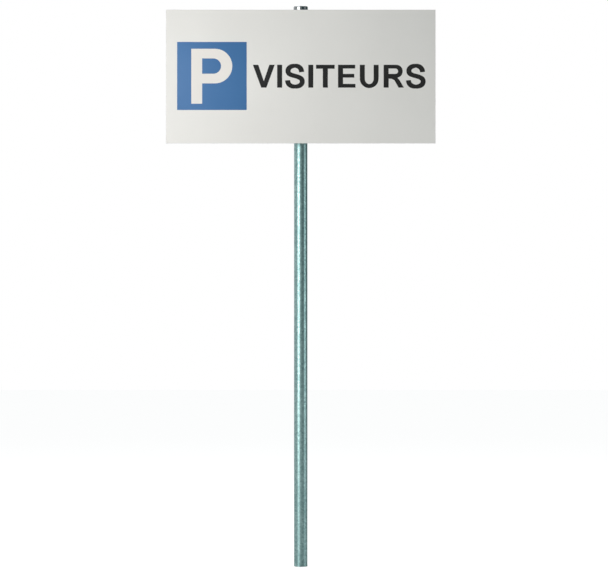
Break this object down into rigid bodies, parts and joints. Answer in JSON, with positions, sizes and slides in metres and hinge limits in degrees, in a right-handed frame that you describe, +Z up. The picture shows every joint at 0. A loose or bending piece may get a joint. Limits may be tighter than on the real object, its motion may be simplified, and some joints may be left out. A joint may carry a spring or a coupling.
{
  "type": "signpost with sign",
  "caption": "Tall round galvanised post with a cap, and a wide flat parking sign held to it by slotted rails and two-part bolted clamps.",
  "frame": {"origin": "on the post's axis, at its foot", "axes": "+Z up along the post, the sign faces -Y, +X is to the right of someone who reads the sign"},
  "size_m": [1.2, 0.0852, 2.5045],
  "materials": {
    "galvanised_post": "hot-dip galvanised, satin, with a fine spangle",
    "cap_metal": "smooth bright pressed cap",
    "panel_white": "satin warm white film on sheet",
    "foam_tape": "matt acrylic foam",
    "rail_aluminium": "mill-finish extrusion",
    "plug_plastic": "moulded black plastic",
    "clamp_aluminium": "mill-finish extrusion",
    "strap_steel": "galvanised flat bar",
    "zinc_fasteners": "bright zinc plate"
  },
  "bodies": {
    "post": {"post_tube": "galvanised_post"},
    "cap": {"post_cap": "cap_metal"},
    "clamps": {"upper_clamp_saddle": "clamp_aluminium", "upper_clamp_strap": "strap_steel", "bolt_upper_left": "zinc_fasteners", "washer_upper_left": "zinc_fasteners", "nut_upper_left": "zinc_fasteners", "bolt_upper_right": "zinc_fasteners", "washer_upper_right": "zinc_fasteners", "nut_upper_right": "zinc_fasteners", "lower_clamp_saddle": "clamp_aluminium", "lower_clamp_strap": "strap_steel", "bolt_lower_left": "zinc_fasteners", "washer_lower_left": "zinc_fasteners", "nut_lower_left": "zinc_fasteners", "bolt_lower_right": "zinc_fasteners", "washer_lower_right": "zinc_fasteners", "nut_lower_right": "zinc_fasteners"},
    "sign": {"sign_panel": "panel_white", "upper_bond_tape": "foam_tape", "upper_rail": "rail_aluminium", "upper_rail_plug_left": "plug_plastic", "upper_rail_plug_right": "plug_plastic", "lower_bond_tape": "foam_tape", "lower_rail": "rail_aluminium", "lower_rail_plug_left": "plug_plastic", "lower_rail_plug_right": "plug_plastic"}
  },
  "joints": [
    {"name": "sign_height", "type": "slide", "parent": "post", "child": "clamps", "axis": [0, 0, 1], "range_m": [-1.35, 0.105]},
    {"name": "panel_shift", "type": "slide", "parent": "clamps", "child": "sign", "axis": [1, 0, 0], "range_m": [-0.48, 0.48]},
    {"name": "cap_lift", "type": "slide", "parent": "post", "child": "cap", "axis": [0, 0, 1], "range_m": [0, 0.035]}
  ]
}
